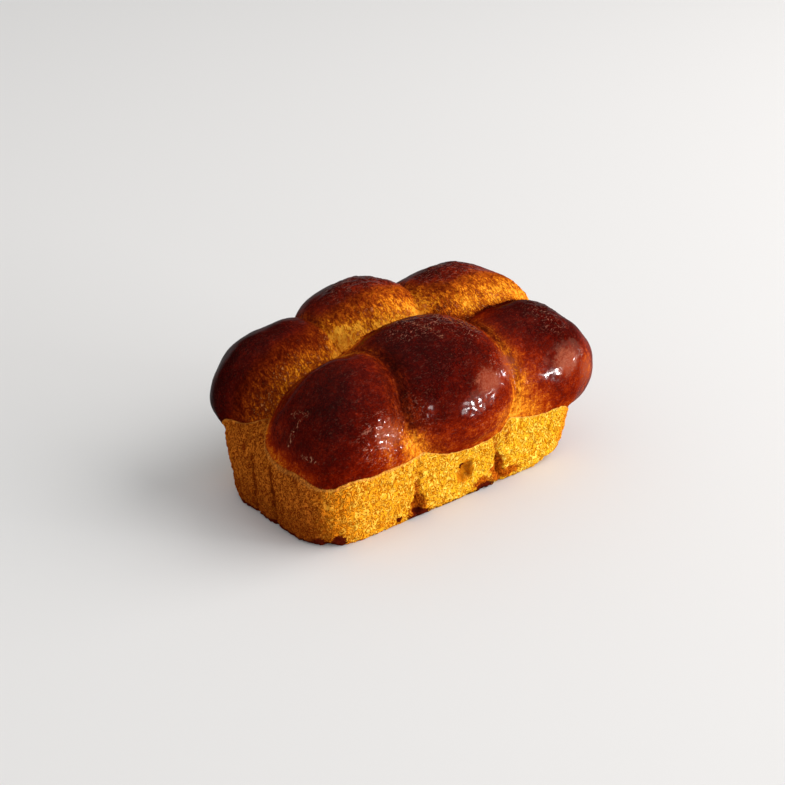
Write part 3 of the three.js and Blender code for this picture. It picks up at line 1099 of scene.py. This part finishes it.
# Dark pores, partly painted shade, where the cloud crosses its middle, and crests of painted highlight on its
# lumps.
crumb = (off_lump * off_lump).step(*PORE_EDGES)
crest_highlight = lumps.step(*CREST_HIGHLIGHT_EDGES)
end = roughened("end")
yellow = start.attribute("yellow")
orange_colour = crest_highlight.mix(ORANGE_RIDGE, ORANGE_CREST_HIGHLIGHT)
yellow_colour = crest_highlight.mix(YELLOW_RIDGE, YELLOW_CREST_HIGHLIGHT)
corner_colour = crest_highlight.mix(CORNER_RIDGE, CORNER_CREST_HIGHLIGHT)
ridge_colour = end.step(*CORNER_EDGES).mix(yellow.mix(orange_colour, yellow_colour), corner_colour)
ridge_colour = end.step(*END_EDGES).mix(ridge_colour, END_RIDGE)
pore_colour = end.mix(yellow.mix(ORANGE_PORE, YELLOW_PORE), END_PORE)
streaks = start.noise(**STREAK_CLOUDS).step(*STREAK_EDGES) * STREAK_SHARE
ridge_colour = (streaks * end).mix(ridge_colour, END_STREAK)
ridge_colour = (start.attribute("low_end") * LOW_END_SHARE).mix(ridge_colour, END_STREAK)
print("with the wall's crumb it takes", len(baked.node_tree.nodes), "nodes")

# %% Scorch the wall
SCORCHED_RIDGE = (0.56, 0.125, 0.006, 1)
SCORCHED_PORE = (0.22, 0.026, 0.001, 1)
SCORCHED_EDGES = (0.2, 0.8)
# Painted shade: dark lines in the seam grooves on the short ends.
END_SEAM_SHADE = (0.11, 0.011, 0.001, 1)
SEAM_SHADE_EDGES = (0.3, 0.75)
SEAM_SHADE_SHARE = 0.8
PIT_FLOOR = (0.62, 0.17, 0.004, 1)
PIT_SHARE = 0.85
BURNT = (0.10, 0.009, 0.003, 1)
BURNT_EDGES = (0.32, 0.62)
# Painted highlight: a pale tan band along the lower edge of the crust, where its lip catches the light,
# weaker on the ends.
PAINTED_EDGE_HIGHLIGHT = (0.95, 0.42, 0.090, 1)
EDGE_BAND = (0.05, 0.25)
EDGE_HIGHLIGHT_SHARE = 0.5
EDGE_RAGGED = 1.5
EDGE_LOST_AT_ENDS = 0.7

seam = start.attribute("seam")
# The painted shade of the seam grooves, on the short ends only.
seam_shade = roughened("seam", seam).step(*SEAM_SHADE_EDGES) * end
scorched = roughened("scorched", start.attribute("scorched") + seam).step(*SCORCHED_EDGES)
ridge_colour = scorched.mix(ridge_colour, SCORCHED_RIDGE)
pore_colour = scorched.mix(pore_colour, SCORCHED_PORE)
wall_colour = crumb.mix(pore_colour, ridge_colour)
wall_colour = (seam_shade * SEAM_SHADE_SHARE).mix(wall_colour, END_SEAM_SHADE)
wall_colour = (start.attribute("pit") * PIT_SHARE).mix(wall_colour, PIT_FLOOR)
wall_colour = roughened("burnt").step(*BURNT_EDGES).mix(wall_colour, BURNT)
# The painted highlight along the crust's edge, ragged, and mostly lost on the ends.
edge_highlight_share = EDGE_HIGHLIGHT_SHARE + uneven["ragged"] * EDGE_RAGGED
edge = crust_mark.step(*EDGE_BAND) * edge_highlight_share * (1 - end * EDGE_LOST_AT_ENDS)
wall_colour = edge.mix(wall_colour, PAINTED_EDGE_HIGHLIGHT)
feed(shader, "Base Color", crust.mix(wall_colour, crust_colour))
print("with its scorch marks it takes", len(baked.node_tree.nodes), "nodes")

# %% [markdown]
# ## Gloss and fine bumps
# The egg wash is a clear coat on the crust alone, thin at its edge, and the wall is matt. What is too fine
# for the mesh is a bump: wrinkles in the coat where it blistered, strands, pores and crumb.

# %% Gloss the crust
WALL_MATT = 0.9
CRUST_SMOOTHER = 0.4
COAT_ROUGHNESS = 0.12
COAT_IOR = 1.45
WRINKLE_CLOUDS = {"size": 2.8, "detail": 2, "distortion": 0.8}
LOW_WRINKLES = 0.2
BLISTER_WRINKLES = 1.1
STRAND_BUMP = 0.25
PORE_BUMP = 0.15
LUMP_BUMP = 0.9

feed(shader, "Roughness", WALL_MATT - shiny * CRUST_SMOOTHER)
feed(shader, "Coat Weight", shiny * start.attribute("glazed"))
shader.inputs["Coat Roughness"].default_value = COAT_ROUGHNESS
shader.inputs["Coat IOR"].default_value = COAT_IOR
shader.inputs["Specular IOR Level"].default_value = 0

skin_height = start.noise(**WRINKLE_CLOUDS) * (LOW_WRINKLES + BLISTER_WRINKLES * blistered)
crust_height = crust * (skin_height + uneven["strands"] * STRAND_BUMP)
wall_height = (1 - crust) * (crumb * PORE_BUMP + lumps * LUMP_BUMP)
bump_inputs = {"Height": crust_height + wall_height, "Distance": MM, "Strength": 1.0}
feed(shader, "Normal", start.node("ShaderNodeBump", {}, bump_inputs))

loaf.data.materials.clear()
loaf.data.materials.append(baked)
print("baked finish has", len(baked.node_tree.nodes), "nodes")

# %% [markdown]
# ## Floor and light
# The loaf stands on a plain pale floor in a pale, slightly cool room. Two soft daylights at the right light
# the floor and the walls. The lower one may not bounce, because the golden wall would tint the floor too
# much. The shine on the domes is set apart from them: the crust mirrors a dark room that is paler overhead
# and behind the loaf, a warm dim window, a small glow and two small bright panes. So the floor and the two
# daylights hide from reflections.

# %% Set the floor and the lights
FLOOR_SIZE = 8.0
WARM = (1.0, 0.48, 0.32)
DAYLIGHT = (1.0, 0.985, 0.97)
FLOOR_SHADE = (231, 229, 228)
FLOOR_MATT = 0.9
FLOOR_SHINE = 0.1
LIGHTS = {
    "daylight": {"aim": (60, 38), "distance": 1.8, "size": (1.6, 1.4), "power": 24.2, "tint": DAYLIGHT},
    "low_daylight": {"aim": (24, 9), "distance": 1.8, "size": (1.0, 0.5), "power": 16.5},
    "window": {"aim": (57, 8), "distance": 1.5, "size": (0.86, 0.48), "power": 1.5, "tint": WARM},
    "bright_pane": {"aim": (38, 3), "distance": 1.49, "size": (0.08, 0.075), "power": 2.9},
    "far_pane": {"aim": (64, 4), "distance": 1.48, "size": (0.04, 0.06), "power": 0.9},
    "pane_sheen": {"aim": (33, 5), "distance": 1.52, "size": (0.26, 0.16), "power": 1.0},
}
OUT_OF_MIRRORS = ("daylight", "low_daylight")

bpy.ops.mesh.primitive_plane_add(size=FLOOR_SIZE)
floor = bpy.context.object
floor.name = "pale_floor"
floor_finish, floor_shader, _ = new_finish("pale_floor")
floor_shader.inputs["Base Color"].default_value = colour(*FLOOR_SHADE)
floor_shader.inputs["Roughness"].default_value = FLOOR_MATT
floor_shader.inputs["Specular IOR Level"].default_value = FLOOR_SHINE
floor.data.materials.append(floor_finish)
floor.visible_glossy = False


def soft_light(name, aim, distance, size, power, tint=(1, 1, 1)):
    """A rectangular light that faces the loaf from an azimuth and an elevation in degrees."""
    place = direction(*[math.radians(angle) for angle in aim]) * distance
    bpy.ops.object.light_add(type="AREA", location=place)
    light = bpy.context.object
    light.name = name
    light.rotation_euler = (-place).to_track_quat("-Z", "Y").to_euler()
    light.data.shape = "RECTANGLE"
    light.data.size, light.data.size_y = size
    light.data.energy = power
    light.data.color = tint
    return light


lights = {name: soft_light(name, **settings) for name, settings in LIGHTS.items()}
for name in OUT_OF_MIRRORS:
    lights[name].visible_glossy = False
lights["low_daylight"].data.cycles.max_bounces = 0
print("lights:", list(lights))

# %% Set the room
ROOM_GLOW = 0.59
ROOM_MIRRORED = 0.012
CEILING_MIRRORED = 0.05
CEILING_EDGES = (0.3, 1.0)
BACK_MIRRORED = 0.14
BACK_EDGES = (0.6, 1.2)
BACK_HEIGHT = (0.0, 0.4)
COOL = (0.98, 1.0, 1.0, 1)

world = bpy.data.worlds.new("pale_room")
world.use_nodes = True
room = Layer(world.node_tree)
mirrored = room.node("ShaderNodeLightPath", output="Is Glossy Ray")
towards = room.node("ShaderNodeTexCoord", output="Generated")
axes = {"Vector": towards}
right, back, upwards = [room.node("ShaderNodeSeparateXYZ", {}, axes, axis) for axis in "XYZ"]
behind = (right + back).step(*BACK_EDGES) * (1 - upwards.step(*BACK_HEIGHT))
overhead = upwards.step(*CEILING_EDGES)
in_mirror = ROOM_MIRRORED + CEILING_MIRRORED * overhead + BACK_MIRRORED * behind
glow = ROOM_GLOW + mirrored * (in_mirror - ROOM_GLOW)
room.tree.links.new(glow.socket, room.tree.nodes["Background"].inputs["Strength"])
room.tree.nodes["Background"].inputs["Color"].default_value = COOL
bpy.context.scene.world = world
bpy.context.scene.view_settings.view_transform = "Standard"
print("the room has", len(world.node_tree.nodes), "nodes")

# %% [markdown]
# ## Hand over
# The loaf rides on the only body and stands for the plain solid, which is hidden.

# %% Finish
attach(loaf, "root")
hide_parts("loaf")
